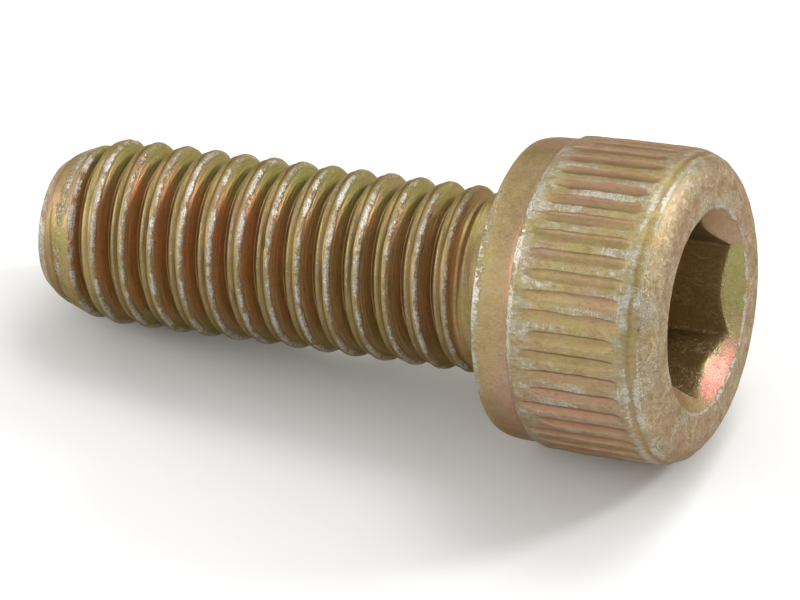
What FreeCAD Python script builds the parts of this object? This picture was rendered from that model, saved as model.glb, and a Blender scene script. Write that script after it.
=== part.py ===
import FreeCAD, Part
import math
import os

import Sketcher

# Socket head cap screw, M6 x 16, full thread, pitch 1.0, head 10 x 6, 5 mm hex.
# One cold-forged blank with a knurled head and a rolled thread, so one solid.
#
# The screw is drawn upright in its body: the body's Z is the screw's axis, Z = 0 is the
# bearing face under the head, the head is above it and the shank below.
# The body's Placement then lays it down as it comes to rest on a flat surface, on the
# lower ends of two of the knurl's ridges and on a thread crest near the point, with the
# head towards +X.

doc = FreeCAD.newDocument("CapScrew")

# ---------------------------------------------------------------- driving dimensions
sheet = doc.addObject("Spreadsheet::Sheet", "Dims")
DIMS = [
    # head, radii from the screw's axis and heights above the bearing face
    ("head_height", 6.0),
    ("head_radius", 4.94),        # over the knurl's ridges
    ("band_radius", 4.75),        # plain band under the knurl
    ("rim_radius", 4.62),         # lower edge of the band, where the bearing face ends
    ("rim_height", 0.28),
    ("knurl_bottom", 1.35),
    ("knurl_lead", 0.16),         # height of the ridges' rounded lower ends
    ("knurl_top", 4.95),
    ("shoulder_radius", 4.92),    # plain ring above the knurl
    ("shoulder_lead", 0.05),
    ("face_rounding", 0.75),
    ("knurl_depth", 0.13),
    ("knurl_groove_top", 0.17),   # half the width of a groove at the ridges' tops
    ("knurl_groove_floor", 0.06), # and at its bottom
    ("knurl_count", 48),
    ("knurl_phase", 7.35),        # degrees, direction of one groove
    # hexagon socket
    ("socket_flats", 5.0),        # across flats
    ("socket_depth", 3.0),
    ("socket_phase", 44.1),       # degrees, direction of one corner
    ("mouth_radius", 3.22),       # countersink where it meets the face
    ("mouth_half_angle", 50.5),   # degrees
    ("floor_radius", 2.3),        # shallow cone at the bottom of the socket
    ("floor_drop", 0.45),
    # shank, measured down from the bearing face
    ("shank_length", 15.9),
    ("thread_radius", 2.925),     # crests
    ("root_radius", 2.36),        # core between the crests
    ("crest_half_width", 0.1),
    ("thread_pitch", 1.0),
    ("thread_start", 16.7528),    # ridge centre beyond the point, in the plane of the sketch
    ("thread_rise", 16.3),        # length of the ridge's helix along the axis
    ("thread_top", 1.2),          # where the full crest diameter ends
    ("neck_radius", 2.68),
    ("neck_bottom", 0.95),
    ("core_top", 1.25),           # where the core starts to widen into the neck
    ("fillet_radius", 0.3),       # under the head
    ("point_radius", 2.05),       # end face
    ("point_a_radius", 2.45),     # rounded point, two further stations
    ("point_a_length", 0.45),
    ("point_b_radius", 2.72),
    ("point_b_length", 1.1),
    ("point_c_length", 1.75),     # where the point reaches the crest diameter
    # lying pose
    ("rest_tilt", 7.406),         # degrees, the axis rises towards the head
    ("rest_roll", -127.35),       # degrees, about the axis: two ridges straddle the lowest line
]
for row, (name, value) in enumerate(DIMS, start=1):
    sheet.set("A%d" % row, name)
    sheet.set("B%d" % row, repr(value))
    sheet.setAlias("B%d" % row, name)
doc.recompute()


def dim(name):
    """A driving dimension's value as a plain number."""
    value = sheet.get(name)
    return float(getattr(value, "Value", value))


# ---------------------------------------------------------------- the body
body = doc.addObject("PartDesign::Body", "cap_screw")
body.Label = "cap_screw"


def origin_plane(role):
    """One of the body's own base planes."""
    return next(x for x in body.Origin.OriginFeatures if x.Role == role)


def new_sketch(name, role):
    sketch = body.newObject("Sketcher::SketchObject", name)
    sketch.AttachmentSupport = [(origin_plane(role), "")]
    sketch.MapMode = "FlatFace"
    return sketch


def outline(sketch, corners):
    """A closed outline of straight lines. Each corner is (x, y) and each coordinate is a
    formula of the sheet's cells, or None for a corner that lies on that axis."""

    def number(formula):
        return 0.0 if formula is None else evaluate(formula)

    pts = [FreeCAD.Vector(number(x), number(y), 0) for x, y in corners]
    n = len(pts)
    for i in range(n):
        sketch.addGeometry(Part.LineSegment(pts[i], pts[(i + 1) % n]), False)
    for i in range(n):
        sketch.addConstraint(Sketcher.Constraint("Coincident", i, 2, (i + 1) % n, 1))
    for i, corner in enumerate(corners):
        if corner[0] is None and corner[1] is None:
            sketch.addConstraint(Sketcher.Constraint("Coincident", i, 1, -1, 1))
            continue
        for axis, kind, formula in ((0, "DistanceX", corner[0]), (1, "DistanceY", corner[1])):
            if formula is None:
                # on the vertical axis when x is missing, on the horizontal one when y is
                line = -2 if axis == 0 else -1
                sketch.addConstraint(Sketcher.Constraint("PointOnObject", i, 1, line))
                continue
            # a corner on the negative side is measured from itself to the origin, so that
            # every stored length is positive
            value = evaluate(formula)
            ends, text = ((-1, 1, i, 1), formula) if value > 0 else ((i, 1, -1, 1), "-(%s)" % formula)
            index = sketch.addConstraint(Sketcher.Constraint(kind, *ends, abs(value)))
            label = "%s%d" % ("xy"[axis], i)
            sketch.renameConstraint(index, label)
            sketch.setExpression("Constraints." + label, text)


def evaluate(text):
    """The value of a formula of the sheet's cells."""
    scratch = doc.getObject("Probe") or doc.addObject("App::FeaturePython", "Probe")
    if not hasattr(scratch, "Result"):
        scratch.addProperty("App::PropertyFloat", "Result")
    result = scratch.evalExpression(text)
    return float(getattr(result, "Value", result))


def checked(feature, grows=None):
    """Recompute, and make sure that the feature worked and changed the volume as meant."""
    before = checked.volume
    body.Tip = feature
    doc.recompute()
    assert feature.isValid(), feature.Name
    volume = body.Shape.Volume
    print("%-18s %9.3f mm3  %d faces" % (feature.Name, volume, len(body.Shape.Faces)))
    if grows is not None:
        assert (volume > before + 1e-3) if grows else (volume < before - 1e-3), feature.Name
    checked.volume = volume
    return feature


checked.volume = 0.0


# ---------------------------------------------------------------- shank
def turned(name, corners, kind, grows):
    """A solid of revolution about the screw's axis, added or cut away."""
    sketch = new_sketch(name + "Sketch", "XZ_Plane")
    outline(sketch, corners)
    feature = body.newObject("PartDesign::" + kind, name)
    feature.Profile = sketch
    feature.ReferenceAxis = (sketch, ["V_Axis"])
    feature.Angle = 360.0
    return checked(feature, grows=grows)


# core, a little long at the point and a little wide at the neck until the shank is trimmed
turned(
    "Core",
    [
        (None, "-Dims.thread_start - Dims.thread_pitch"),
        ("Dims.root_radius", "-Dims.thread_start - Dims.thread_pitch"),
        ("Dims.root_radius", "-Dims.core_top"),
        ("Dims.neck_radius + 0.1", "-Dims.core_top + Dims.neck_radius + 0.1 - Dims.root_radius"),
        ("Dims.neck_radius + 0.1", "Dims.rim_height"),
        (None, "Dims.rim_height"),
    ],
    "Revolution",
    True,
)

# the rolled thread: one ridge with 30 degree flanks, wound right-handed up the core until
# it runs into the neck. Its section reaches into the core and a little past the crest.
INTO = "0.05"
PAST = "0.06"
ridge = new_sketch("ThreadSketch", "XZ_Plane")
foot = "(Dims.crest_half_width + (Dims.thread_radius - Dims.root_radius + %s) * tan(30 deg))" % INTO
tip = "(Dims.crest_half_width - %s * tan(30 deg))" % PAST
outline(
    ridge,
    [
        ("Dims.root_radius - " + INTO, "-Dims.thread_start - " + foot),
        ("Dims.thread_radius + " + PAST, "-Dims.thread_start - " + tip),
        ("Dims.thread_radius + " + PAST, "-Dims.thread_start + " + tip),
        ("Dims.root_radius - " + INTO, "-Dims.thread_start + " + foot),
    ],
)
thread = body.newObject("PartDesign::AdditiveHelix", "Thread")
thread.Profile = ridge
thread.ReferenceAxis = (ridge, ["V_Axis"])
thread.Mode = 0                                  # pitch, height, angle
thread.setExpression("Pitch", "Dims.thread_pitch")
thread.setExpression("Height", "Dims.thread_rise")
thread.Angle = 0
thread.LeftHanded = False
thread.Reversed = False
checked(thread, grows=True)

# everything outside the blank is trimmed away: the rounded point, the crests, the neck
turned(
    "ShankTrim",
    [
        (None, "-Dims.shank_length"),
        ("Dims.point_radius", "-Dims.shank_length"),
        ("Dims.point_a_radius", "-Dims.shank_length + Dims.point_a_length"),
        ("Dims.point_b_radius", "-Dims.shank_length + Dims.point_b_length"),
        ("Dims.thread_radius", "-Dims.shank_length + Dims.point_c_length"),
        ("Dims.thread_radius", "-Dims.thread_top"),
        ("Dims.neck_radius", "-Dims.neck_bottom"),
        ("Dims.neck_radius", "Dims.rim_height + 0.5"),
        ("Dims.thread_radius + 1", "Dims.rim_height + 0.5"),
        ("Dims.thread_radius + 1", "-Dims.thread_start - 2 * Dims.thread_pitch"),
        (None, "-Dims.thread_start - 2 * Dims.thread_pitch"),
    ],
    "Groove",
    False,
)

# ---------------------------------------------------------------- head
head = turned(
    "Head",
    [
        (None, None),
        ("Dims.rim_radius", None),
        ("Dims.band_radius", "Dims.rim_height"),
        ("Dims.band_radius", "Dims.knurl_bottom"),
        ("Dims.head_radius", "Dims.knurl_bottom + Dims.knurl_lead"),
        ("Dims.head_radius", "Dims.knurl_top"),
        ("Dims.shoulder_radius", "Dims.knurl_top + Dims.shoulder_lead"),
        ("Dims.shoulder_radius", "Dims.head_height"),
        (None, "Dims.head_height"),
    ],
    "Revolution",
    True,
)


def round_edge(radius, height):
    """Name of the full-circle edge of this radius at this height above the bearing face."""
    for i, edge in enumerate(body.Shape.Edges, start=1):
        curve = edge.Curve
        if isinstance(curve, Part.Circle) and abs(curve.Radius - radius) < 1e-4:
            if abs(curve.Center.z - height) < 1e-4:
                return "Edge%d" % i
    raise LookupError((radius, height))


# rounded edge of the head's face
face_edge = body.newObject("PartDesign::Fillet", "FaceRounding")
face_edge.Base = (head, [round_edge(dim("shoulder_radius"), dim("head_height"))])
face_edge.setExpression("Radius", "Dims.face_rounding")
checked(face_edge, grows=False)

# fillet between the neck and the bearing face
neck_edge = body.newObject("PartDesign::Fillet", "HeadFillet")
neck_edge.Base = (face_edge, [round_edge(dim("neck_radius"), 0.0)])
neck_edge.setExpression("Radius", "Dims.fillet_radius")
checked(neck_edge, grows=True)

# ---------------------------------------------------------------- hexagon socket
socket = new_sketch("SocketSketch", "XY_Plane")
socket.AttachmentOffset = FreeCAD.Placement(
    FreeCAD.Vector(0, 0, dim("head_height")), FreeCAD.Rotation()
)
socket.setExpression(".AttachmentOffset.Base.z", "Dims.head_height")
corner_radius = dim("socket_flats") / math.sqrt(3)
phase = math.radians(dim("socket_phase"))
hexagon = [
    FreeCAD.Vector(
        corner_radius * math.cos(phase + i * math.pi / 3),
        corner_radius * math.sin(phase + i * math.pi / 3),
        0,
    )
    for i in range(6)
]
for i in range(6):
    socket.addGeometry(Part.LineSegment(hexagon[i], hexagon[(i + 1) % 6]), False)
# the corners lie on a circle about the axis, the sides are equal, and one corner is set
# by its direction
circle = socket.addGeometry(Part.Circle(FreeCAD.Vector(0, 0, 0), FreeCAD.Vector(0, 0, 1), corner_radius), True)
spoke = socket.addGeometry(Part.LineSegment(FreeCAD.Vector(0, 0, 0), hexagon[0]), True)
socket.addConstraint(Sketcher.Constraint("Coincident", circle, 3, -1, 1))
for i in range(6):
    socket.addConstraint(Sketcher.Constraint("Coincident", i, 2, (i + 1) % 6, 1))
    socket.addConstraint(Sketcher.Constraint("PointOnObject", i, 1, circle))
for i in range(1, 6):
    socket.addConstraint(Sketcher.Constraint("Equal", 0, i))
socket.addConstraint(Sketcher.Constraint("Coincident", spoke, 1, -1, 1))
socket.addConstraint(Sketcher.Constraint("Coincident", spoke, 2, 0, 1))
index = socket.addConstraint(Sketcher.Constraint("Diameter", circle, 2 * corner_radius))
socket.renameConstraint(index, "across_corners")
socket.setExpression("Constraints.across_corners", "2 * Dims.socket_flats / sqrt(3)")
index = socket.addConstraint(Sketcher.Constraint("Angle", -1, 1, spoke, 1, phase))
socket.renameConstraint(index, "direction")
socket.setExpression("Constraints.direction", "Dims.socket_phase * 1 deg")
hex_cut = body.newObject("PartDesign::Pocket", "HexSocket")
hex_cut.Profile = socket
hex_cut.setExpression("Length", "Dims.socket_depth")
checked(hex_cut, grows=False)

# countersink of the socket's mouth, a cone whose apex lies inside the socket
turned(
    "SocketMouth",
    [
        (None, "Dims.head_height - Dims.mouth_radius / tan(Dims.mouth_half_angle * 1 deg)"),
        ("Dims.mouth_radius", "Dims.head_height"),
        (None, "Dims.head_height"),
    ],
    "Groove",
    False,
)

# shallow cone left by the punch at the bottom of the socket
turned(
    "SocketFloor",
    [
        (None, "Dims.head_height - Dims.socket_depth - Dims.floor_drop"),
        ("Dims.floor_radius", "Dims.head_height - Dims.socket_depth"),
        (None, "Dims.head_height - Dims.socket_depth"),
    ],
    "Groove",
    False,
)

# ---------------------------------------------------------------- straight knurl
# one groove between two ridges, pressed in along the axis and repeated around the head
flute = new_sketch("KnurlSketch", "XY_Plane")
flute.setExpression(".AttachmentOffset.Base.z", "Dims.knurl_bottom - 0.05")
flute.setExpression(".AttachmentOffset.Rotation.Angle", "Dims.knurl_phase * 1 deg")
wide = "(Dims.knurl_groove_top + (Dims.knurl_groove_top - Dims.knurl_groove_floor) * 0.1 / Dims.knurl_depth)"
outline(
    flute,
    [
        ("Dims.head_radius - Dims.knurl_depth", "-Dims.knurl_groove_floor"),
        ("Dims.head_radius + 0.1", "-" + wide),
        ("Dims.head_radius + 0.1", wide),
        ("Dims.head_radius - Dims.knurl_depth", "Dims.knurl_groove_floor"),
    ],
)
groove = body.newObject("PartDesign::Pocket", "KnurlGroove")
groove.Profile = flute
groove.Reversed = True
groove.setExpression("Length", "Dims.knurl_top - Dims.knurl_bottom + 0.2")
checked(groove, grows=False)
knurl = body.newObject("PartDesign::PolarPattern", "Knurl")
knurl.Originals = [groove]
knurl.Axis = (flute, ["N_Axis"])
knurl.Angle = 360
knurl.setExpression("Occurrences", "Dims.knurl_count")
checked(knurl, grows=False)

# ---------------------------------------------------------------- lying pose
# about the axis first, then over until the axis is rest_tilt above level, head to +X
roll = FreeCAD.Rotation(FreeCAD.Vector(0, 0, 1), dim("rest_roll"))
over = FreeCAD.Rotation(FreeCAD.Vector(0, 1, 0), 90.0 - dim("rest_tilt"))
turn = over.multiply(roll)
body.Placement = FreeCAD.Placement(FreeCAD.Vector(0, 0, 0), turn)
doc.recompute()
# the lowest point is the floor, and the origin is under the middle of the screw
box = body.Shape.optimalBoundingBox(False, False)
base = FreeCAD.Vector(-(box.XMin + box.XMax) / 2, -(box.YMin + box.YMax) / 2, -box.ZMin)
body.Placement = FreeCAD.Placement(base, turn)
doc.recompute()

# ---------------------------------------------------------------- checks and output
probe = doc.getObject("Probe")
if probe is not None:
    doc.removeObject(probe.Name)
for item in doc.Objects:
    assert "Invalid" not in item.State and "Error" not in item.State, (item.Name, item.State)
parts = [body]
for item in parts:
    shape = item.Shape
    assert not shape.isNull() and shape.isValid(), item.Label
    assert len(shape.Solids) == 1, (item.Label, len(shape.Solids))
os.makedirs("parts", exist_ok=True)
for item in parts:
    item.Shape.exportStep("parts/%s.step" % item.Label)
    box = item.Shape.optimalBoundingBox(False, False)
    print(item.Label, "volume", round(item.Shape.Volume, 3), "mm3, box",
          [round(v, 4) for v in (box.XMin, box.YMin, box.ZMin, box.XMax, box.YMax, box.ZMax)])
place = body.Placement
for text, height in (("bearing face centre", 0.0), ("head face centre", dim("head_height")),
                     ("point centre", -dim("shank_length"))):
    p = place.multVec(FreeCAD.Vector(0, 0, height))
    print(text, [round(v, 5) for v in (p.x, p.y, p.z)])
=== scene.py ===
import math

import bpy
import numpy as np
from mathutils import Matrix, Vector


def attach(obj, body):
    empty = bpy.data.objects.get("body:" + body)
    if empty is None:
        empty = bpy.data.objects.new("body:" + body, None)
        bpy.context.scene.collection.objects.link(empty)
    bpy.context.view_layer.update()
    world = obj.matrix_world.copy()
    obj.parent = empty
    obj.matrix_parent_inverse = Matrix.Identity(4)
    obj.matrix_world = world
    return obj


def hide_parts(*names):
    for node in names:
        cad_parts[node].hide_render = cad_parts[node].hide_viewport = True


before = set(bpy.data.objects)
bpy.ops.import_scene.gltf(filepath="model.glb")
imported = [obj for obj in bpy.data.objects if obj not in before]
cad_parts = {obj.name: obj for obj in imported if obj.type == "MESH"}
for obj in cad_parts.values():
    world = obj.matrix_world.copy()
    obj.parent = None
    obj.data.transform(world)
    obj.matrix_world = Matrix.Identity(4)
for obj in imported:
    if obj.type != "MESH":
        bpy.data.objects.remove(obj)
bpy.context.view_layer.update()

MM = 0.001

# ------------------------------------------------------------------ the screw's own frame
# local Z is the screw's axis, 0 at the bearing face under the head and rising into the
# head. Lengths are in millimetres until the mesh is made.
TILT = math.radians(7.406)
ROLL = math.radians(-127.35)
BEARING = np.array([4.76894, 0.0, 4.70145])


def rotation(axis, angle):
    c, s = math.cos(angle), math.sin(angle)
    if axis == "Y":
        return np.array([[c, 0, s], [0, 1, 0], [-s, 0, c]])
    return np.array([[c, -s, 0], [s, c, 0], [0, 0, 1]])


LAY = rotation("Y", math.pi / 2 - TILT) @ rotation("Z", ROLL)


def placed(p):
    """Local millimetres to the frame's metres."""
    return (np.asarray(p) @ LAY.T + BEARING) * MM


# ------------------------------------------------------------------ small helpers
def smooth(a, b, x):
    t = np.clip((np.asarray(x, float) - a) / (b - a), 0.0, 1.0)
    return t * t * (3 - 2 * t)


def bump(x, centre, half):
    """1 at the centre, 0 beyond half on either side, smooth."""
    return 1 - smooth(0, half, np.abs(np.asarray(x, float) - centre))


def soft_min(a, b, k):
    h = np.clip(0.5 + 0.5 * (b - a) / k, 0, 1)
    return b + (a - b) * h - k * h * (1 - h)


def soft_max(a, b, k):
    return -soft_min(-a, -b, k)


def noise(p, seed=0):
    """Smooth value noise from -1 to 1 at the points p (N, 3)."""
    p = np.asarray(p, float)
    i = np.floor(p).astype(np.int64)
    f = p - i
    f = f * f * (3 - 2 * f)

    def lattice(q):
        n = (q[..., 0] * 374761393 + q[..., 1] * 668265263 + q[..., 2] * 1442695041 + seed * 974634777) & 0xFFFFFFFF
        n = ((n ^ (n >> 13)) * 1274126177) & 0xFFFFFFFF
        n = ((n ^ (n >> 16)) * 2246822519) & 0xFFFFFFFF
        return ((n ^ (n >> 15)) & 0xFFFFFF) / float(0xFFFFFF) * 2 - 1

    total = 0.0
    for dx in (0, 1):
        for dy in (0, 1):
            for dz in (0, 1):
                w = (
                    (f[..., 0] if dx else 1 - f[..., 0])
                    * (f[..., 1] if dy else 1 - f[..., 1])
                    * (f[..., 2] if dz else 1 - f[..., 2])
                )
                total = total + w * lattice(i + np.array([dx, dy, dz]))
    return total


def rough_noise(p, seed=0, octaves=3):
    total, size, weight = 0.0, 1.0, 0.0
    for o in range(octaves):
        total = total + noise(np.asarray(p) * 2.03**o + 17.3 * o, seed + o) * size
        weight += size
        size *= 0.5
    return total / weight


def curve(x, knots):
    """A smooth curve through (x, y) knots: monotone cubic."""
    k = np.array(knots, float)
    xs, ys = k[:, 0], k[:, 1]
    h = np.diff(xs)
    d = np.diff(ys) / h
    m = np.zeros(len(xs))
    m[0], m[-1] = d[0], d[-1]
    for i in range(1, len(xs) - 1):
        if d[i - 1] * d[i] > 0:
            w1, w2 = 2 * h[i] + h[i - 1], h[i] + 2 * h[i - 1]
            m[i] = (w1 + w2) / (w1 / d[i - 1] + w2 / d[i])
    x = np.clip(x, xs[0], xs[-1])
    i = np.clip(np.searchsorted(xs, x) - 1, 0, len(xs) - 2)
    t = (x - xs[i]) / h[i]
    return (
        (2 * t**3 - 3 * t**2 + 1) * ys[i]
        + (t**3 - 2 * t**2 + t) * h[i] * m[i]
        + (-2 * t**3 + 3 * t**2) * ys[i + 1]
        + (t**3 - t**2) * h[i] * m[i + 1]
    )


# ------------------------------------------------------------------ mesh under construction
class Skin:
    """Vertices, faces with their texture coordinates, and figures per vertex."""

    NAMES = ("wear", "land", "rose", "pink", "green", "brown", "thread", "face", "rust", "polish", "deep")

    def __init__(self):
        self.points, self.faces, self.uvs = [], [], []
        self.figures = {n: [] for n in self.NAMES}
        self.count = 0

    def add(self, xyz, **figures):
        xyz = np.asarray(xyz, float).reshape(-1, 3)
        self.points.append(xyz)
        for n in self.NAMES:
            self.figures[n].append(np.broadcast_to(np.asarray(figures.get(n, 0.0), float), (len(xyz),)))
        first = self.count
        self.count += len(xyz)
        return np.arange(first, self.count)

    def polygon(self, ids, uv):
        kept, kept_uv = [], []
        for v, t in zip(ids, uv):
            if v not in kept:
                kept.append(int(v))
                kept_uv.append((float(t[0]), float(t[1])))
        if len(kept) > 2:
            self.faces.append(kept)
            self.uvs.append(kept_uv)

    def between(self, low, high):
        """Faces between two closed rings. A ring is (ids, angles in degrees from -180,
        texture height). The rings may have different numbers of points."""
        (ia, aa, va), (ib, ab, vb) = low, high
        na, nb = len(ia), len(ib)
        if na == nb:
            for j in range(na):
                k = (j + 1) % na
                ra, rb = aa[k] + 360 * (k == 0), ab[k] + 360 * (k == 0)
                self.polygon(
                    (ia[j], ia[k], ib[k], ib[j]),
                    ((aa[j], va), (ra, va), (rb, vb), (ab[j], vb)),
                )
            return
        i = j = 0
        while i < na or j < nb:
            next_a = aa[(i + 1) % na] + 360 * ((i + 1) // na)
            next_b = ab[(j + 1) % nb] + 360 * ((j + 1) // nb)
            here_a, here_b = aa[i % na] + 360 * (i // na), ab[j % nb] + 360 * (j // nb)
            if j >= nb or (i < na and next_a <= next_b):
                self.polygon(
                    (ia[i % na], ia[(i + 1) % na], ib[j % nb]),
                    ((here_a, va), (next_a, va), (here_b, vb)),
                )
                i += 1
            else:
                self.polygon(
                    (ia[i % na], ib[(j + 1) % nb], ib[j % nb]),
                    ((here_a, va), (next_b, vb), (here_b, vb)),
                )
                j += 1

    def cap(self, ring, centre):
        ids, angles, v = ring
        n = len(ids)
        for j in range(n):
            k = (j + 1) % n
            self.polygon((ids[j], ids[k], centre), ((angles[j], v), (angles[k] + 360 * (k == 0), v), (angles[j], v + 1)))


def polar(radius, angle, height):
    a = np.radians(angle)
    return np.stack([radius * np.cos(a), radius * np.sin(a), height + 0 * a], axis=-1)


skin = Skin()

# ------------------------------------------------------------------ shank and thread
PITCH = 1.0
CREST_0 = -0.7528  # height of a crest's middle where the angle is 0
R_CREST, R_ROOT = 2.925, 2.36
POINT, NECK = -15.9, -0.70
# rows of each pitch, measured from the middle of the crest
ACROSS = np.array([-0.52, -0.42, -0.35, -0.30, -0.265, -0.225, -0.185, -0.145, -0.105, -0.07, -0.04, 0.0, 0.045, 0.09, 0.13, 0.19, 0.27, 0.345, 0.395, 0.42, 0.445])
COLUMNS = 152


def blank_radius(z):
    """The crests' envelope: the rounded point, the shank, and the neck."""
    point = curve(
        z - POINT,
        [(0, 2.03), (0.06, 2.08), (0.2, 2.17), (0.35, 2.295), (0.55, 2.41), (0.8, 2.52), (1.1, 2.63), (1.6, 2.82), (1.95, 2.90), (2.4, 2.925)],
    )
    neck = curve(z, [(-1.45, 2.925), (-1.32, 2.89), (-1.19, 2.79), (-1.05, 2.71), (-0.90, 2.685), (-0.74, 2.68)])
    return np.minimum(point, neck)


def core_radius(z):
    return np.minimum(soft_max(np.full_like(z, R_ROOT), R_ROOT + (z + 1.85) * 0.55, 0.08), 2.685)


def ridge_radius(t, fold):
    """Section of the rolled thread: t is the distance from the crest's middle."""
    # two rolled lips make the crest, the one towards the point a little lower, with
    # a shallow seam between them
    steep = math.tan(math.radians(30))
    low_lip = R_CREST - 0.04
    top = R_CREST - 0.04 * smooth(-0.04, -0.12, t) - fold * 0.08 * bump(t, -0.10, 0.075)
    a = np.where(t < 0, np.maximum(-t - 0.18, 0), t)
    r = soft_min(top, top - (a - 0.1) / steep, 0.05)
    following = low_lip - (1 - t - 0.18 - 0.1) / steep
    r = np.where(t > 0, soft_max(r, following, 0.03), r)
    before = R_CREST - (1 + t - 0.1) / steep
    r = np.where(t < 0, soft_max(r, before, 0.03), r)
    return soft_max(r, np.full_like(r, R_ROOT), 0.03)


def leaning(xyz):
    """The rolled point sits a little to one side of the axis."""
    xyz = np.array(xyz, float)
    xyz[..., 1] += 0.045 * smooth(-13.6, -15.6, xyz[..., 2])
    return xyz


angles = -180 + 360 * np.arange(COLUMNS) / COLUMNS
turns = np.arange(-17, 2)
K = len(ACROSS)
n_rows = len(turns) * K
turn_of = np.repeat(turns, K)
across = np.tile(ACROSS, len(turns))
Z = CREST_0 + turn_of[:, None] * PITCH + across[:, None] + angles[None, :] / 360 * PITCH
ANGLE = np.broadcast_to(angles, Z.shape)
T = np.broadcast_to(across[:, None], Z.shape)
# length along the helix, continuous from turn to turn
HELIX = (turn_of[:, None] + ANGLE / 360) * (2 * math.pi * 2.65)

sample = np.stack([HELIX * 0.55, T * 0, T * 0], axis=-1)
fold = 0.35 + 0.65 * smooth(-0.3, 0.3, rough_noise(sample, 3, 2))
fold = fold * smooth(POINT + 1.0, POINT + 2.2, Z) * (1 - smooth(50, 80, np.abs(ANGLE)))
shape = ridge_radius(T, fold)
# crests aren't perfectly even: slight waves in height along the helix
wave = rough_noise(np.stack([HELIX * 0.9, T * 0, T * 0 + 4], axis=-1), 11, 3)
shape = shape + 0.012 * wave * smooth(0.3, 0.05, np.abs(T))
# away from the front the rolled lips close into one round crest
shape = shape - 0.06 * smooth(45, 80, np.abs(ANGLE)) * np.clip(np.abs(T + 0.045) / 0.17, 0, 1) ** 2 * smooth(0.33, 0.24, np.abs(T + 0.045))
# knocks on the crests
rng = np.random.default_rng(5)
knocks = np.zeros_like(Z)
for _ in range(150):
    u = rng.uniform(HELIX.min() + 2, HELIX.max() - 2)
    where = rng.normal(0.0, 0.06)
    long, wide, deep = rng.uniform(0.08, 0.35), rng.uniform(0.05, 0.12), rng.uniform(0.015, 0.06)
    knocks += deep * np.exp(-(((HELIX - u) / long) ** 2) - ((T - where) / wide) ** 2)
shape = shape - np.clip(knocks, 0, 0.07)
envelope = blank_radius(Z)
shape = soft_min(shape, envelope, 0.04)
R = soft_max(shape, core_radius(Z), 0.03 + 0.17 * smooth(-2.2, -1.35, Z))
R = np.minimum(R, envelope + 0.004)

# the film is rubbed off the highest line of each crest; where the point cuts the crests
# down, that line is the edge towards the head
cut_down = np.clip(R_CREST - envelope, 0, 0.6)
worn_at = 0.09 + np.clip(cut_down * math.tan(math.radians(30)) + 0.02, 0.02, 0.3) * smooth(0.02, 0.1, cut_down)
along_wear = 0.5 + 0.5 * rough_noise(np.stack([HELIX * 0.22, T * 0 + 9, T * 0], axis=-1), 13, 3)
along_wear = 0.68 + 0.32 * smooth(0.3, 0.7, along_wear)
along_wear = along_wear * (1 - 0.3 * smooth(-5.0, -2.0, Z)) * (1 + 0.25 * smooth(-12.5, -14.5, Z))
wear = bump(T, worn_at, 0.09 + 0.3 * np.clip(worn_at - 0.07, 0, 0.2)) ** 0.6 * along_wear
wear = wear * (1 - 0.55 * smooth(-48, -76, ANGLE))
wear = wear + 0.36 * bump(T, -0.215, 0.085) * along_wear * smooth(-14.2, -13.4, Z)
wear = wear * (1 - smooth(0.80, 0.62, Z - POINT))
wear = np.maximum(wear, 0.52 * smooth(0.36, 0.29, Z - POINT))
# painted highlight: paler bare zinc on the point's rounded end
wear = np.maximum(wear, 0.36 * bump(Z - POINT, 0.86, 0.30))
wear = wear + 0.5 * np.clip(knocks / 0.05, 0, 1)
# painted highlight: a streak of bare zinc on the upper side of the point's rounded end
wear = np.maximum(wear, 0.75 * bump(Z - POINT, 0.93, 0.2) * bump(ANGLE, -45, 42))
# the film on the flank that faces the head turns from yellow-green at the top through
# copper to rust and brown; its dark brown lower down is partly painted shade (deep)
drift = ANGLE + 14 * rough_noise(np.stack([HELIX * 0.12, T * 0 + 3, T * 0], axis=-1), 14, 2)
head_flank = smooth(0.06, 0.16, T) * smooth(0.47, 0.36, T)
green = smooth(np.where(drift < 0, 28, 52), np.where(drift < 0, 54, 78), np.abs(drift)) * smooth(-1.5, -4.0, Z) * (0.55 * head_flank + 0.3 + 0.15 * bump(T, -0.25, 0.2))
green = green * np.where(drift < 0, 1.0, 0.7)
copper = bump(drift, -36, 28) * bump(T, 0.15, 0.13) * 0.25
rose = 0.6 * smooth(0.38, 0.26, Z - POINT) + 0.45 * bump(T, 0.18, 0.12) * smooth(75, 45, np.abs(drift)) + 0.25 * smooth(-13.2, -14.6, Z) * bump(drift, -60, 50) * smooth(0.5, 0.8, Z - POINT)
brown = smooth(0.10, 0.16, T) * (0.85 + 0.15 * smooth(0.2, 0.4, T)) * smooth(np.where(drift < 0, 66, 85), np.where(drift < 0, 26, 55), np.abs(drift)) * 0.95
brown = brown * (1 - 0.4 * bump(drift, -44, 26))
brown = np.maximum(brown, 0.7 * bump(T, -0.10, 0.08) * smooth(-13.9, -13.2, Z))
brown = np.maximum(brown, 0.3 * smooth(-0.26, -0.42, T))
brown = brown * smooth(0.45, 0.8, Z - POINT) * (1 - 0.42 * smooth(-9.0, -4.0, Z))
rust = smooth(0.44, 0.25, T) * smooth(0.05, 0.12, T) * (1 - 0.85 * smooth(-10.0, -5.0, Z)) * (1 - 0.6 * bump(drift, -44, 28)) * (1 - 0.75 * smooth(8, 45, drift))
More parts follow.
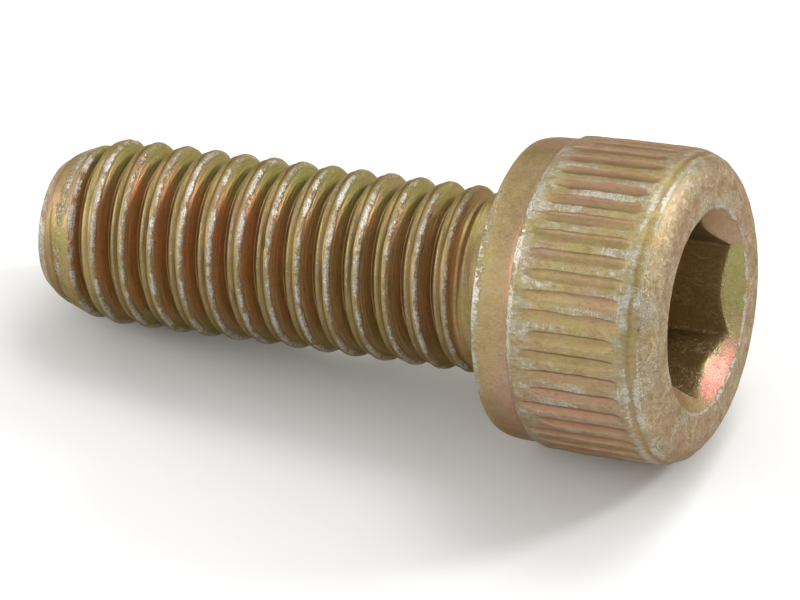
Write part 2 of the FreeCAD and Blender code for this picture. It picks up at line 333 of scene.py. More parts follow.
# painted shade (deep): darkens the root between crests, the seam between the lips, the lower lip beside it, the
# head-facing flank on the lower side and a ring just above the point's end, with none of it near the neck
deep = 0.42 * bump(T, 0.42, 0.06) * smooth(0.03, 0.2, envelope - R)
deep = np.maximum(deep, 0.9 * bump(T, -0.095, 0.085) ** 0.7 * smooth(-13.9, -13.2, Z))
deep = np.maximum(deep, 0.36 * bump(T, -0.2, 0.13) * smooth(-13.9, -13.2, Z))
deep = np.maximum(deep, 0.22 * head_flank * smooth(5, 50, drift))
deep = np.maximum(deep, 0.28 * bump(Z - POINT, 0.40, 0.14)) * smooth(-1.35, -1.9, Z)
green = np.maximum(green, 0.3 * smooth(-0.12, -0.15, T) * smooth(-0.36, -0.28, T))
brown = np.maximum(brown, 0.2 * bump(T, -0.2, 0.1) * smooth(-13.9, -13.2, Z))
brown = np.clip(brown, 0, 0.9) * (0.25 + 0.75 * smooth(-0.9, -1.4, Z))
green = np.maximum(green, 0.3 * smooth(-1.45, -1.1, Z))

inside = (Z > POINT + 0.012) & (Z < NECK - 0.012)
ids = np.full(Z.shape, -1, int)
flat = np.flatnonzero(inside.ravel())
xyz = leaning(polar(R.ravel()[flat], ANGLE.ravel()[flat], Z.ravel()[flat]))
ids.ravel()[flat] = skin.add(
    xyz,
    wear=wear.ravel()[flat],
    rose=rose.ravel()[flat],
    pink=copper.ravel()[flat],
    green=green.ravel()[flat],
    brown=brown.ravel()[flat],
    rust=rust.ravel()[flat],
    deep=deep.ravel()[flat],
    polish=(0.9 * bump(Z - POINT, 0.86, 0.35)).ravel()[flat],
    thread=1.0,
)
low_r = blank_radius(np.array([POINT]))[0]
low_ids = skin.add(leaning(polar(low_r, angles, POINT)), wear=0.7, rose=0.4, thread=0.3)
top_ids = skin.add(polar(2.68, angles, NECK), thread=0.5, brown=0.1)
for row in range(n_rows):
    below, above = Z[row] <= POINT + 0.012, Z[row] >= NECK - 0.012
    ids[row, below] = low_ids[below]
    ids[row, above] = top_ids[above]
edges = np.append(ACROSS, ACROSS[0] + 1)
for row in range(n_rows - 1):
    n, k = turn_of[row], row % K
    for j in range(COLUMNS):
        if j + 1 < COLUMNS:
            a, b, c, d = ids[row, j], ids[row, j + 1], ids[row + 1, j + 1], ids[row + 1, j]
        else:
            if row + K + 1 >= n_rows:
                continue
            a, b, c, d = ids[row, j], ids[row + K, 0], ids[row + K + 1, 0], ids[row + 1, j]
        if (a == b and c == d) or min(a, b, c, d) < 0:
            continue
        u0 = (n * 360 + angles[j]) * 1.0
        u1 = u0 + 360 / COLUMNS
        skin.polygon((a, b, c, d), ((u0, edges[k]), (u1, edges[k]), (u1, edges[k + 1]), (u0, edges[k + 1])))

# ------------------------------------------------------------------ the point's end face
ring = (low_ids, angles, 0.0)
few = -180 + 360 * np.arange(96) / 96
for radius, height, columns in ((1.97, POINT, angles), (1.8, POINT + 0.012, few), (1.35, POINT + 0.03, few), (0.8, POINT + 0.05, few), (0.3, POINT + 0.06, few)):
    wobble = 0.01 * rough_noise(polar(radius * 1.3, columns, 3.0), 21, 2)
    here = (
        skin.add(leaning(polar(radius, columns, height)) + np.array([0, 0, 1.0]) * wobble[:, None], wear=0.3 if radius < 1.9 else 0.6, rose=0.3),
        columns,
        radius,
    )
    skin.between(here, ring)
    ring = here
centre = skin.add([[0, 0, POINT + 0.062]], wear=0.3)[0]
for j in range(len(ring[0])):
    k = (j + 1) % len(ring[0])
    skin.polygon((ring[0][k], ring[0][j], centre), ((0, 0), (1, 0), (0.5, 1)))

# ------------------------------------------------------------------ neck, fillet, bearing face, rim
ring = (top_ids, angles, 0.0)


def next_ring(radius, height, columns, v, **figures):
    """One more ring of the head's outline, joined to the last."""
    global ring
    here = (skin.add(polar(radius, columns, height), **figures), columns, v)
    skin.between(ring, here)
    ring = here


def rosy_sides(angle):
    """The film turns rosy towards two opposite sides of the head, and gold between them."""
    away = np.abs(np.sin(np.radians(angle)))
    uneven = 0.1 * rough_noise(polar(1.6, angle, 2.0), 45, 2)
    low_side = smooth(14, 48, angle + 90 * uneven) * (1 - smooth(130, 165, angle)) * 0.8
    return np.maximum(smooth(0.72, 1.0, away + uneven) * 0.75, low_side)


for h in (-0.6, -0.5, -0.38, -0.3):
    next_ring(2.68 + 0.004 * rough_noise(polar(4.0, angles, h), 31, 2), h, angles, h, thread=0.3, brown=0.1)
for a in np.radians([18, 36, 54, 72, 90]):
    next_ring(2.98 - 0.3 * math.cos(a), -0.3 + 0.3 * math.sin(a), angles, -0.3 + 0.3 * a, thread=0.1, brown=0.4)
mid = -180 + 360 * np.arange(288) / 288
for r in (3.35, 3.9, 4.35, 4.53):
    next_ring(r, 0.0, mid, r, brown=0.1, wear=0.15 + 0.3 * (r > 4.4))
RIM = [
    (4.575, 0.006, 0.75),
    (4.607, 0.025, 0.95),
    (4.632, 0.065, 0.8),
    (4.655, 0.13, 0.62),
    (4.684, 0.22, 0.46),
    (4.708, 0.34, 0.17),
    (4.724, 0.47, 0.04),
    (4.734, 0.62, 0.02),
    (4.742, 0.80, 0.02),
    (4.748, 1.00, 0.02),
    (4.753, 1.13, 0.04),
]
for r, h, w in RIM:
    dent = 0.008 * rough_noise(polar(7.0, mid, h * 3), 41, 3)
    share = 0.5 + 0.5 * rough_noise(polar(2.4, mid, 5.0), 42, 3)
    less = 1 - 0.7 * bump(mid, -70, 55) - 0.35 * bump(mid, 75, 55)
    next_ring(
        r + dent,
        h,
        mid,
        h,
        wear=w * (0.5 + 0.5 * smooth(0.25, 0.7, share)) * less,
        rose=np.clip(rosy_sides(mid + 14 * smooth(0.5, 1.1, h)) * (0.35 + 0.65 * smooth(0.2, 1.0, h)) + 0.3 * smooth(0.8, 1.1, h), 0, 1),
        # the pink on the top rows near -10 degrees, beside the step, is partly painted highlight
        pink=0.22 * smooth(0.9, 1.13, h) * bump(mid, -10, 36) + 0.10 * smooth(0.5, 1.1, h) * bump(mid, 45, 35),
        face=0.15,
    )

# ------------------------------------------------------------------ knurl
RIDGES = 48
PHASE = 7.35
OFFSETS = np.array([-2.6, -2.2, -1.9, -1.6, -1.3, -0.95, -0.4, 0.3, 0.9, 1.5, 2.1, 2.7, 3.4, 4.2])
periods = np.arange(RIDGES)
base_columns = (PHASE + 7.5 * periods[:, None] + OFFSETS[None, :]).ravel()
groove_of = np.repeat(periods, len(OFFSETS))
offset_of = np.tile(OFFSETS, RIDGES)
wrapped = (base_columns + 180) % 360 - 180
turn_order = np.argsort(wrapped)
base_columns, groove_of, offset_of = wrapped[turn_order], groove_of[turn_order], offset_of[turn_order]
ridge_of = np.where(offset_of > 0, groove_of, groove_of - 1) % RIDGES
side = np.where(offset_of < 0, -1.0, np.where(offset_of < 3.5, 1.0, -1.0))

kr = np.random.default_rng(12)
groove_start = 1.55 + kr.normal(0, 0.05, RIDGES) + kr.uniform(0.1, 0.5, RIDGES) * (kr.random(RIDGES) > 0.7)
groove_end = 5.03 + kr.normal(0, 0.05, RIDGES)
groove_wide = 1 + kr.normal(0, 0.09, RIDGES)
groove_deep = 0.052 * (1 + kr.normal(0, 0.14, RIDGES))


def outline_radius(z):
    """The head without its grooves: the step up from the band, and the shallow ring
    that was turned beside the shoulder."""
    return curve(
        z,
        [
            (1.0, 4.748), (1.12, 4.753), (1.21, 4.763), (1.29, 4.785), (1.36, 4.832), (1.42, 4.866), (1.5, 4.882),
            (2.2, 4.905), (3.1, 4.935), (4.0, 4.950), (4.6, 4.952), (4.85, 4.948), (5.03, 4.938), (5.12, 4.926), (5.19, 4.910), (5.25, 4.889),
            (5.31, 4.864), (5.38, 4.838), (5.45, 4.812), (5.52, 4.780), (5.57, 4.748), (5.60, 4.722),
        ],
    )


knurl_rows = np.concatenate(
    [
        [1.19, 1.24, 1.28, 1.315, 1.35, 1.385, 1.42, 1.46, 1.51, 1.57, 1.64, 1.72, 1.81],
        np.linspace(1.92, 4.80, 22),
        [4.90, 4.98, 5.05, 5.11, 5.16, 5.21, 5.26, 5.31, 5.37, 5.44, 5.51, 5.57],
    ]
)
for h in knurl_rows:
    # a groove's sides wander a little along it, and its ends are round
    wander = rough_noise(np.stack([groove_of * 7.7 + side * 3.1, np.full(len(side), h * 1.9), side], axis=-1), 51, 3)
    near_side = np.where(offset_of < 0, bump(offset_of, -1.8, 1.7), bump(offset_of, 2.0, 2.2))
    widen = groove_wide[groove_of] + 0.4 * wander
    columns = base_columns + side * near_side * (widen - 1) * 1.1
    start, end = groove_start[groove_of], groove_end[groove_of]
    along = smooth(start - 0.2, start + 0.9, h) * (1 - smooth(end - 0.5, end + 0.1, h))
    narrow = 0.72 + 0.28 * np.sqrt(along)
    level = np.where(offset_of < 0, smooth(0.75, 2.55, -offset_of / narrow), smooth(-0.2, 3.3, offset_of / narrow))
    hollow = (1 - level) * np.minimum(1.0, along * 1.25)
    edge = (0.035 if h < 3 else 0.06) * rough_noise(polar(5.0 if h < 3 else 8.0, columns, 1.0 if h < 3 else 7.0), 61, 3)
    near_end = np.maximum(smooth(1.9, 1.5, h), smooth(4.75, 5.1, h) * (1 - smooth(5.3, 5.5, h)))
    r = outline_radius(h + edge * near_end)
    r = r - groove_deep[groove_of] * hollow
    land = (1 - smooth(0.10, 0.42, hollow)) * smooth(1.3, 1.42, h) * (1 - 0.75 * bump(h + edge, 5.37, 0.15))
    grain = rough_noise(polar(4.94 * 6.5, columns, h * 6.5), 71, 3)
    coarse = rough_noise(polar(4.94 * 2.6, columns, h * 2.0), 72, 2)
    r = r + (0.016 * grain + 0.012 * coarse) * land + 0.004 * coarse
    stripes = 0.5 + 0.8 * rough_noise(np.stack([ridge_of * 5.1, np.full(len(side), h * 0.85), side * 0], axis=-1), 52, 2)
    ends = np.maximum(smooth(2.3, 1.5, h) * 0.75, smooth(4.45, 5.1, h) * 0.65)
    clumps = rough_noise(polar(3.4, columns, h * 1.2), 75, 3)
    rubbed = 0.10 + 0.46 * np.clip(smooth(0.3, 0.9, stripes) * smooth(-0.35, 0.35, clumps + 0.2) + ends * smooth(-0.5, 0.3, clumps), 0, 1)
    region = 1 - 0.35 * bump(base_columns, -95, 55) - 0.12 * bump(base_columns, 95, 60)
    # worn lines: the step's edge is worn, and its wear is raised and widened around -15 to -22 degrees as a painted
    # highlight; the groove starts and the edge by the shoulder are worn too
    worn_lines_and_painted_highlight = (0.85 + 0.4 * bump(base_columns, -15, 60)) * bump(h + edge, 1.345, 0.105) + 0.5 * bump(base_columns, -22, 34) * bump(h + edge, 1.40, 0.17) + 0.22 * smooth(2.1, 1.6, h) * (1 - land) * smooth(1.35, 1.45, h) + (0.2 + 0.6 * smooth(-0.2, 0.4, clumps)) * bump(h + edge, 5.20, 0.15)
    wear = np.clip(rubbed * land * region + worn_lines_and_painted_highlight + 0.02 + 0.45 * smooth(5.40, 5.50, h + edge) * smooth(-0.4, 0.4, clumps), 0, 1)
    ring_ids = skin.add(
        polar(r, columns, h),
        land=land,
        wear=wear,
        rose=np.clip(rosy_sides(columns) * (1 - 0.25 * land) + 0.35 * smooth(1.4, 1.2, h) + 0.3 * bump(offset_of, -1.1, 1.6) * along, 0, 1),
        # the pink low on the step near -10 degrees is partly painted highlight
        pink=0.26 * smooth(1.32, 1.20, h) * bump(columns, -10, 36) + 0.22 * bump(offset_of, -1.1, 1.5) * along * bump(columns, -60, 60) + 0.16 * (1 - land) * smooth(1.35, 1.5, h) * smooth(4.6, 3.0, h) * bump(columns, 52, 34),
        green=0.25 * land * bump(columns, -30, 60) + (0.2 + 0.5 * bump(columns, -60, 50)) * bump(h + edge, 5.35, 0.16),
        brown=0.3 * (1 - land) * along * bump(columns, 60, 40) + 0.2 * bump(h + edge, 5.35, 0.16) + 0.12 * bump(offset_of, -1.75, 0.7) * along,
        # painted shade (deep) in the shallow ring beside the shoulder
        deep=0.2 * bump(h + 1.4 * edge, 5.36, 0.12),
        face=0.3 * land,
        polish=0.3 * bump(base_columns, -22, 40) * bump(h, 1.34, 0.16),
    )
    here = (ring_ids, base_columns, h)
    skin.between(ring, here)
    ring = here

# ------------------------------------------------------------------ shoulder, rounded edge, face
fine = -179.9 + np.arange(360)  # one column falls on each corner of the hexagon
ROUND = 8
for i in range(ROUND + 1):
    a = math.radians(32.85 + (90 - 32.85) * i / ROUND)
    h = 5.25 + 0.75 * math.sin(a) ** 1.25
    r = 4.0 + 0.89 * abs(math.cos(a)) ** 1.2
    rough = 0.012 * rough_noise(polar(14.0, fine, h * 4), 81, 3) + 0.008 * rough_noise(polar(5.0, fine, h * 2), 85, 2)
    share = 0.5 + 0.5 * rough_noise(polar(3.0, fine, h * 1.5), 86, 3)
    # the edge beside the ring is worn, and its first rows are made paler as a painted highlight
    wear = 0.20 + 0.15 * bump(i, 0, 2.0) + 0.26 * (smooth(0.3, 0.7, share) - 0.5)
    next_ring(
        r + rough * math.cos(a),
        h + rough * math.sin(a) * (i < ROUND),
        fine,
        h,
        wear=wear,
        rose=np.clip(0.45 * rosy_sides(fine) + 0.5 * math.sin(a) ** 2, 0, 1),
        land=0.7,
        face=0.5 + 0.5 * math.sin(a),
        polish=bump(i, 1.0, 4.0),
    )
for r in (3.86, 3.7, 3.54, 3.40, 3.31):
    lift = 0.014 * rough_noise(polar(r * 2.5, fine, 9.0), 82, 3) - 0.008
    share = 0.5 + 0.5 * rough_noise(polar(r * 1.2, fine, 3.0), 84, 3)
    next_ring(r, 6.0 + lift, fine, 9 - r, wear=0.14 + 0.2 * smooth(0.35, 0.75, share), rose=0.42 + 0.4 * smooth(0.6, 0.3, share), land=0.7, face=1.0)
rim_share = 0.5 + 0.5 * rough_noise(polar(2.6, fine, 7.0), 83, 3)
nick = 0.018 * rough_noise(polar(5.5, fine, 4.0), 87, 3)
next_ring(3.262 + nick, 5.994, fine, 5.8, wear=0.5 + 0.35 * smooth(0.3, 0.7, rim_share) + 0.3 * bump(fine, 150, 60), rose=0.2, land=0.5, face=1.0)
next_ring(3.222 + nick, 5.974, fine, 5.85, wear=0.5 + 0.3 * smooth(0.3, 0.7, rim_share) + 0.3 * bump(fine, 150, 60), rose=0.3, land=0.5, face=0.5)

# ------------------------------------------------------------------ socket
HEX_PHASE = 44.1
half_flats = 2.5
side_angle = (fine - HEX_PHASE) % 60 - 30
hex_radius = half_flats / np.cos(np.radians(side_angle))
hex_radius = np.minimum(hex_radius, 2.868)
CONE = math.tan(math.radians(50.5))


def cone_height(r):
    return 6.0 - (3.22 - r) / CONE


between_flats = ((fine - HEX_PHASE) // 60) % 6  # which of the six scallops a column is in
# one scallop is pink: partly the film's tint, partly painted highlight
scallop_pink = np.array([0.1, 1.0, 0.2, 0.0, 0.3, 0.1])[between_flats.astype(int)]
scallop_rose = np.array([0.5, 0.2, 0.1, 0.85, 0.3, 0.6])[between_flats.astype(int)]
scallop_green = np.array([0.2, 0.0, 0.6, 0.0, 0.3, 0.1])[between_flats.astype(int)]
for s in (0.12, 0.35, 0.6, 0.85):
    r = 3.20 + (hex_radius + 0.03 - 3.20) * s
    fleck = 0.5 + 0.5 * rough_noise(polar(6.0, fine, s * 2), 88, 3)
    next_ring(
        r + 0.006 * rough_noise(polar(7.0, fine, s * 3), 89, 3) * math.sin(math.pi * s),
        cone_height(r),
        fine,
        5.9 + s,
        wear=0.3 * smooth(0.55, 0.75, fleck) * (1 - s) * (1 - 0.8 * scallop_pink) + 0.1 * scallop_pink,
        pink=scallop_pink * smooth(104, 120, fine) * (1 - 0.75 * smooth(140, 150, fine) * smooth(0.35, 0.6, fleck)) * (1 - 0.4 * smooth(152, 160, fine)),
        rose=np.clip(scallop_rose + scallop_pink * smooth(150, 160, fine), 0, 1),
        green=scallop_green + 0.5 * scallop_pink * smooth(116, 106, fine),
        brown=0.12 * scallop_rose,
        face=0.2,
    )
next_ring(hex_radius + 0.012, cone_height(hex_radius + 0.016), fine, 6.9, wear=0.25, green=0.6 * scallop_pink, rose=0.6 * scallop_rose)
edge_height = cone_height(hex_radius)
next_ring(hex_radius, edge_height - 0.03, fine, 7.0, wear=0.1, brown=0.3)
corner = bump(np.abs(side_angle), 30, 2.3)
for s in (0.06, 0.2, 0.4, 0.62, 0.84, 0.97, 1.0):
    h = edge_height - 0.03 + (3.0 - edge_height + 0.03) * s
    scuff = smooth(0.45, 0.8, 0.5 + 0.5 * rough_noise(polar(2.0, fine, h * 3.0), 90, 3))
    # painted shade: the wall of one flat gets extra brown and the deep figure
    next_ring(hex_radius - 0.004 * s, h, fine, 7 + 3 * s, brown=0.05 * s + 0.25 * (between_flats == 1), deep=0.22 * (between_flats == 1), wear=0.1 + 0.8 * corner * (0.35 + 0.65 * scuff))
for r, h in ((2.3, 3.0), (1.7, 2.883), (1.0, 2.746), (0.35, 2.62)):
    next_ring(r, h, fine if r > 1.5 else few, 10 + (2.3 - r), brown=0.6)
centre = skin.add([[0, 0, 2.56]], brown=0.6)[0]
skin.cap(ring, centre)

# ------------------------------------------------------------------ mesh object
local = np.concatenate(skin.points)
mesh = bpy.data.meshes.new("cap_screw_skin")
mesh.from_pydata(placed(local).tolist(), [], skin.faces)
uv_layer = mesh.uv_layers.new(name="winding")
uv_layer.data.foreach_set("uv", np.array([t for face in skin.uvs for t in face], np.float32).ravel())
for name in Skin.NAMES:
    layer = mesh.attributes.new(name, "FLOAT", "POINT")
    layer.data.foreach_set("value", np.clip(np.concatenate(skin.figures[name]), 0, 1).astype(np.float32))
layer = mesh.attributes.new("local", "FLOAT_VECTOR", "POINT")
layer.data.foreach_set("vector", local.astype(np.float32).ravel())
mesh.validate(verbose=False)
mesh.update()
screw = bpy.data.objects.new("cap_screw_skin", mesh)
bpy.context.scene.collection.objects.link(screw)
import bmesh

bm = bmesh.new()
bm.from_mesh(mesh)
bmesh.ops.delete(bm, geom=[v for v in bm.verts if not v.link_faces], context="VERTS")
open_edges = [e for e in bm.edges if len(e.link_faces) != 2]
print("open or shared edges:", len(open_edges))
bmesh.ops.recalc_face_normals(bm, faces=bm.faces)
triangles = sum(len(f.verts) - 2 for f in bm.faces)
volume = bm.calc_volume(signed=True)
if volume < 0:
    bmesh.ops.reverse_faces(bm, faces=bm.faces)
for f in bm.faces:
    f.smooth = True
bm.to_mesh(mesh)
bm.free()
print("triangles:", triangles, "volume mm3:", round(abs(volume) * 1e9, 2))


# ------------------------------------------------------------------ material
class Nodes:
    """Short names for building a node tree."""

    def __init__(self, name):
        self.material = bpy.data.materials.new(name)
        self.material.use_nodes = True
        self.tree = self.material.node_tree
        self.tree.nodes.clear()

    def node(self, kind, **settings):
        n = self.tree.nodes.new(kind)
        inputs = settings.pop("inputs", {})
        for k, v in settings.items():
            setattr(n, k, v)
        for k, v in inputs.items():
            self.put(n.inputs[k], v)
        return n

    def put(self, socket, value):
        if isinstance(value, bpy.types.NodeSocket):
            self.tree.links.new(value, socket)
        else:
            socket.default_value = value

    def figure(self, name):
        return self.node("ShaderNodeAttribute", attribute_type="GEOMETRY", attribute_name=name)

    def math(self, kind, a, b=0.0, c=0.0, clamp=False):
        n = self.node("ShaderNodeMath", operation=kind, use_clamp=clamp)
        for socket, v in zip(n.inputs, (a, b, c)):
            self.put(socket, v)
        return n.outputs[0]

    def ramp(self, value, low, high, to_low=0.0, to_high=1.0, smooth=True):
        n = self.node("ShaderNodeMapRange", interpolation_type="SMOOTHSTEP" if smooth else "LINEAR", clamp=True)
        for k, v in (("Value", value), ("From Min", low), ("From Max", high), ("To Min", to_low), ("To Max", to_high)):
            self.put(n.inputs[k], v)
        return n.outputs["Result"]

    def noise(self, vector, scale, detail=2.0, rough=0.5, distortion=0.0):
        n = self.node("ShaderNodeTexNoise", noise_dimensions="3D")
        self.put(n.inputs["Vector"], vector)
        for k, v in (("Scale", scale), ("Detail", detail), ("Roughness", rough), ("Distortion", distortion)):
            n.inputs[k].default_value = v
        return n.outputs["Fac"]

    def cells(self, vector, scale, feature="F1", randomness=1.0):
        n = self.node("ShaderNodeTexVoronoi", voronoi_dimensions="3D", feature=feature)
        self.put(n.inputs["Vector"], vector)
        n.inputs["Scale"].default_value = scale
        n.inputs["Randomness"].default_value = randomness
        return n

    def stretch(self, vector, scale=(1, 1, 1), shift=(0, 0, 0)):
        n = self.node("ShaderNodeMapping", vector_type="POINT")
        self.put(n.inputs["Vector"], vector)
        n.inputs["Scale"].default_value = scale
        n.inputs["Location"].default_value = shift
        return n.outputs["Vector"]

    def mix(self, factor, a, b, kind="MIX"):
        n = self.node("ShaderNodeMix", data_type="RGBA", blend_type=kind, clamp_factor=True)
        self.put(n.inputs[0], factor)
        self.put(n.inputs[6], a)
        self.put(n.inputs[7], b)
        return n.outputs[2]


def rgb(r, g, b):
    return (r, g, b, 1.0)


m = Nodes("yellow_zinc")
loc = m.figure("local").outputs["Vector"]
wind = m.node("ShaderNodeUVMap", uv_map="winding").outputs["UV"]
wear_in = m.figure("wear").outputs["Fac"]
land_in = m.figure("land").outputs["Fac"]
rose_in = m.figure("rose").outputs["Fac"]
brown_in = m.figure("brown").outputs["Fac"]
thread_in = m.figure("thread").outputs["Fac"]

pink_in = m.figure("pink").outputs["Fac"]
green_in = m.figure("green").outputs["Fac"]
face_in = m.figure("face").outputs["Fac"]


def shifted(x, y, z, along=1.0):
    """The screw's own coordinates, moved to an unrelated part of the noise and drawn
    out along the axis."""
    return m.stretch(loc, scale=(1, 1, along), shift=(x, y, z))


wide = m.noise(shifted(31, 2, 6), 0.42, 2.0, 0.5)
patch = m.noise(shifted(31, 7, 3), 1.2, 3.0, 0.55)
mottle = m.noise(shifted(3, 17, 9), 4.5, 4.0, 0.6)
fleck = m.noise(shifted(8, 1, 21, 0.55), 9.5, 3.0, 0.62)
grain = m.noise(shifted(13, 5, 29), 19.0, 3.0, 0.65)
speck = m.noise(shifted(1, 2, 3), 36.0, 2.0, 0.6)
# lines that follow the thread's winding, drawn by the rolling dies
lines = m.noise(m.stretch(wind, scale=(0.035, 24.0, 1.0)), 1.0, 3.0, 0.6)
dots = m.noise(m.stretch(wind, scale=(0.5, 13.0, 1.0)), 1.0, 3.0, 0.7)

# the chromate film
film = m.mix(m.ramp(patch, 0.35, 0.65), rgb(0.335, 0.238, 0.108), rgb(0.40, 0.286, 0.130))
film = m.mix(m.ramp(mottle, 0.38, 0.62, 0.0, 0.7), film, rgb(0.34, 0.272, 0.118))
greener = m.math("ADD", m.math("MULTIPLY", green_in, 0.95), m.ramp(m.noise(shifted(5, 50, 8), 0.9, 3.0, 0.6), 0.53, 0.7, 0.0, 0.4), clamp=True)
film = m.mix(greener, film, rgb(0.285, 0.29, 0.07))
rosy = m.math("ADD", rose_in, m.ramp(wide, 0.50, 0.68, 0.0, 0.6), clamp=True)
rosy = m.math("MULTIPLY", rosy, m.ramp(mottle, 0.3, 0.7, 0.55, 1.0))
film = m.mix(rosy, film, rgb(0.355, 0.215, 0.160))
# pink tint: the film's own pink and copper, and painted highlight on the step and on the pink scallop
pink_and_highlight_share = m.math("MULTIPLY", pink_in, m.ramp(mottle, 0.3, 0.6, 0.7, 1.0))
film = m.mix(pink_and_highlight_share, film, rgb(0.63, 0.235, 0.20))
rusty = m.math("ADD", m.figure("rust").outputs["Fac"], m.ramp(patch, 0.35, 0.65, -0.25, 0.25), clamp=True)
brown = m.mix(rusty, rgb(0.42, 0.235, 0.082), rgb(0.50, 0.185, 0.068))
film = m.mix(m.math("MULTIPLY", brown_in, 0.9), film, brown)
on_thread = m.math("MULTIPLY", m.ramp(lines, 0.35, 0.7), m.math("MULTIPLY", thread_in, m.ramp(brown_in, 0.2, 0.9, 0.45, 0.15)))
film = m.mix(on_thread, film, rgb(0.20, 0.135, 0.06))
# fine unevenness of the film
uneven = m.math("ADD", m.math("MULTIPLY", fleck, 0.5), m.math("MULTIPLY", grain, 0.5))
# patches of paler and of olive film, seen most on the face
streak = m.noise(shifted(19, 23, 2, 0.8), 3.1, 4.0, 0.62, 0.6)
film = m.mix(m.math("MULTIPLY", m.ramp(streak, 0.50, 0.60), m.ramp(face_in, 0.0, 1.0, 0.12, 0.5)), film, rgb(0.43, 0.34, 0.245))
film = m.mix(m.math("MULTIPLY", m.ramp(streak, 0.48, 0.38), m.ramp(face_in, 0.0, 1.0, 0.15, 0.72)), film, rgb(0.25, 0.21, 0.10))
film = m.mix(m.math("MULTIPLY", m.ramp(uneven, 0.49, 0.36), m.ramp(face_in, 0.0, 1.0, 0.40, 0.48)), film, rgb(0.17, 0.115, 0.06))
film = m.mix(m.math("MULTIPLY", m.ramp(uneven, 0.52, 0.66), m.ramp(brown_in, 0.0, 0.6, 0.38, 0.08)), film, rgb(0.48, 0.39, 0.24))

# where the film is rubbed off, or bare zinc is painted as a highlight: first greenish grey, then bare zinc
fine_part = m.mix(thread_in, fleck, dots)
blend = m.math("ADD", m.math("MULTIPLY", fine_part, 0.5), m.math("MULTIPLY", grain, 0.25))
blend = m.math("ADD", blend, m.math("MULTIPLY", m.mix(thread_in, mottle, dots), 0.25))
blend = m.math("ADD", blend, m.math("MULTIPLY", m.math("MULTIPLY", m.math("SUBTRACT", lines, 0.5), land_in), 0.35))
level = m.ramp(blend, 0.37, 0.63, 0.0, 1.0, smooth=False)
cover = m.math("MULTIPLY", wear_in, m.ramp(m.noise(shifted(41, 3, 5, 0.6), 1.5, 3.0, 0.6), 0.36, 0.62, 0.35, 1.4))
left = m.math("SUBTRACT", m.math("ADD", level, cover), 1.0)
some = m.ramp(cover, 0.04, 0.30)
thin = m.math("MULTIPLY", m.ramp(left, -0.5, 0.05), some)
bare = m.math("MULTIPLY", m.ramp(left, -0.02, 0.42), some)
# hairline scratches
curl = m.noise(shifted(2, 9, 77), 2.3, 4.0, 0.55, 0.8)
hair = m.ramp(m.math("ABSOLUTE", m.math("SUBTRACT", curl, 0.5)), 0.0, 0.04, 1.0, 0.0)
finer_curl = m.noise(shifted(22, 19, 7), 5.2, 3.0, 0.55, 1.2)
finer_hair = m.ramp(m.math("ABSOLUTE", m.math("SUBTRACT", finer_curl, 0.5)), 0.0, 0.03, 1.0, 0.0)
hair = m.math("MULTIPLY", hair, m.ramp(patch, 0.38, 0.52))
finer_hair = m.math("MULTIPLY", finer_hair, m.ramp(mottle, 0.42, 0.56))
hair = m.math("MULTIPLY", m.math("MAXIMUM", hair, finer_hair), face_in)
thin = m.math("MAXIMUM", thin, m.math("MULTIPLY", hair, 0.6))
zinc = m.mix(m.ramp(grain, 0.35, 0.65), rgb(0.39, 0.375, 0.33), rgb(0.63, 0.60, 0.54))
colour = m.mix(m.math("MULTIPLY", thin, 0.66), film, rgb(0.355, 0.33, 0.235))
colour = m.mix(m.math("MULTIPLY", hair, 0.56), colour, rgb(0.60, 0.53, 0.40))
colour = m.mix(m.math("MULTIPLY", bare, m.ramp(m.math("MAXIMUM", land_in, m.math("MULTIPLY", thread_in, 0.2)), 0.0, 1.0, 0.85, 0.62)), colour, zinc)
# painted shade: the deep figure darkens the colour towards a near-black brown
colour = m.mix(m.math("MULTIPLY", m.figure("deep").outputs["Fac"], 0.95), colour, rgb(0.125, 0.075, 0.026))

grit = m.math("ADD", m.math("MULTIPLY", fleck, 0.5), m.math("MULTIPLY", grain, 0.5))
height = m.math("MULTIPLY", grit, m.math("ADD", 0.22, m.math("MULTIPLY", m.math("MAXIMUM", land_in, thin), 1.0)))
height = m.math("ADD", height, m.math("MULTIPLY", m.math("MULTIPLY", lines, thread_in), 0.45))
height = m.math("ADD", height, m.math("MULTIPLY", bare, -0.12))
bump_node = m.node("ShaderNodeBump")
bump_node.inputs["Strength"].default_value = 0.8
bump_node.inputs["Distance"].default_value = 0.00006
m.put(bump_node.inputs["Height"], height)
fine_bump = m.node("ShaderNodeBump")
fine_bump.inputs["Strength"].default_value = 0.5
fine_bump.inputs["Distance"].default_value = 0.000016
m.put(fine_bump.inputs["Height"], speck)
m.put(fine_bump.inputs["Normal"], bump_node.outputs["Normal"])

rough = m.ramp(m.math("ADD", m.math("MULTIPLY", grain, 0.6), m.math("MULTIPLY", patch, 0.4)), 0.3, 0.7, 0.33, 0.45)
rough = m.math("ADD", rough, m.math("MULTIPLY", bare, -0.09))
rough = m.math("ADD", rough, m.math("MULTIPLY", m.figure("polish").outputs["Fac"], -0.19))
rough = m.math("ADD", rough, m.math("MULTIPLY", m.math("SUBTRACT", face_in, m.figure("polish").outputs["Fac"], clamp=True), 0.06))
shader = m.node("ShaderNodeBsdfPrincipled")
m.put(shader.inputs["Base Color"], colour)
m.put(shader.inputs["Roughness"], rough)
m.put(shader.inputs["Normal"], fine_bump.outputs["Normal"])
shader.inputs["Metallic"].default_value = 0.9
shader.inputs["Specular Tint"].default_value = rgb(0.5, 0.4, 0.35)
output = m.node("ShaderNodeOutputMaterial")
m.put(output.inputs["Surface"], shader.outputs["BSDF"])
mesh.materials.append(m.material)

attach(screw, "root")
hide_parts("cap_screw")

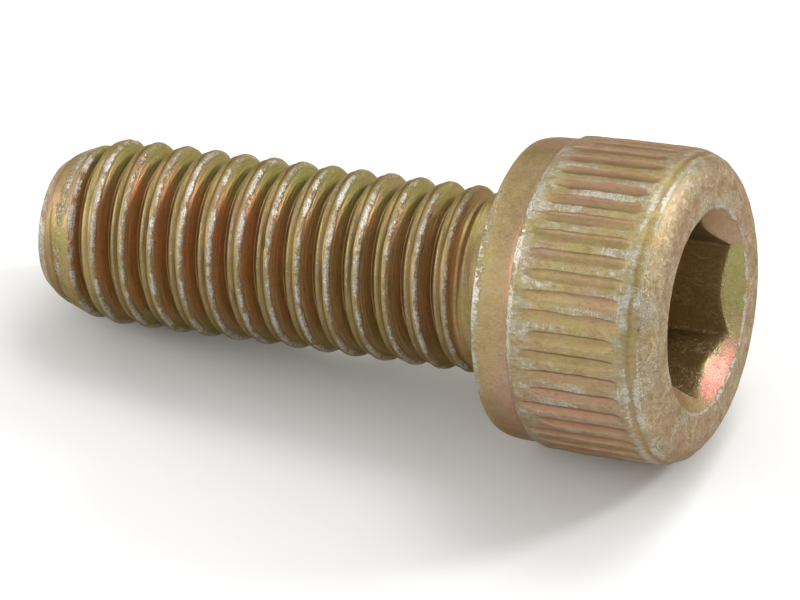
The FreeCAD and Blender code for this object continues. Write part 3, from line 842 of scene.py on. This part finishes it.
# ------------------------------------------------------------------ floor
floor_mesh = bpy.data.meshes.new("floor")
s = 1.2
floor_mesh.from_pydata([(-s, -s, 0), (s, -s, 0), (s, s, 0), (-s, s, 0)], [], [(0, 1, 2, 3)])
floor = bpy.data.objects.new("floor", floor_mesh)
bpy.context.scene.collection.objects.link(floor)
f = Nodes("pale_floor")
fs = f.node("ShaderNodeBsdfPrincipled")
fs.inputs["Base Color"].default_value = rgb(0.78, 0.78, 0.775)
fs.inputs["Roughness"].default_value = 0.8
fo = f.node("ShaderNodeOutputMaterial")
f.put(fo.inputs["Surface"], fs.outputs["BSDF"])
floor_mesh.materials.append(f.material)

# ------------------------------------------------------------------ light
world = bpy.data.worlds.new("studio")
bpy.context.scene.world = world
world.use_nodes = True
background = world.node_tree.nodes.get("Background") or world.node_tree.nodes.new("ShaderNodeBackground")
background.inputs["Color"].default_value = (1.0, 0.99, 0.975, 1.0)
background.inputs["Strength"].default_value = 0.63

# directions are (up in the photograph, towards the camera, towards the head)
UP, FRONT, HEAD = LAY @ np.array([0, -1.0, 0]), LAY @ np.array([1.0, 0, 0]), LAY @ np.array([0, 0, 1.0])


def softbox(name, direction, distance, size, power, colour=(1, 1, 1)):
    way = direction[0] * UP + direction[1] * FRONT + direction[2] * HEAD
    way = way / np.linalg.norm(way)
    lamp = bpy.data.lights.new(name, "AREA")
    lamp.shape = "RECTANGLE"
    lamp.size, lamp.size_y = size
    lamp.energy = power
    lamp.color = colour
    o = bpy.data.objects.new(name, lamp)
    bpy.context.scene.collection.objects.link(o)
    aim = Vector((0, 0, 0.005))
    o.location = aim + Vector(way) * distance
    o.rotation_euler = (aim - o.location).to_track_quat("-Z", "Y").to_euler()
    return o


softbox("key_head", (0.63, -0.14, 0.76), 0.40, (0.07, 0.07), 0.66)
softbox("key_top", (0.92, 0.2, 0.20), 0.40, (0.14, 0.12), 0.35)
softbox("broad_top", (0.80, 0.1, 0.35), 0.50, (0.50, 0.50), 1.05)
softbox("front", (0.1, 0.9, -0.35), 0.55, (0.5, 0.4), 0.68)
softbox("side_point", (0.20, 0.24, -0.95), 0.40, (0.16, 0.14), 0.72)
softbox("key_point", (0.64, -0.16, -0.75), 0.40, (0.10, 0.09), 0.13)

# ------------------------------------------------------------------ camera
camera_data = bpy.data.cameras.new("camera")
camera = bpy.data.objects.new("camera", camera_data)
bpy.context.scene.collection.objects.link(camera)
camera_data.lens = 540
camera_data.sensor_width = 36
camera_data.clip_start = 0.01
camera_data.clip_end = 10
right = Vector((0.925785, 0.377396, -0.022223))
up = Vector((-0.226951, 0.60182, 0.765706))
back = Vector((0.302349, -0.703836, 0.642806))
turn = Matrix((right, up, back)).transposed()
camera.matrix_world = Matrix.Translation(Vector((113.8116, -264.0256, 243.9758)) * MM) @ turn.to_4x4()
bpy.context.scene.camera = camera
bpy.context.scene.view_settings.view_transform = "Standard"
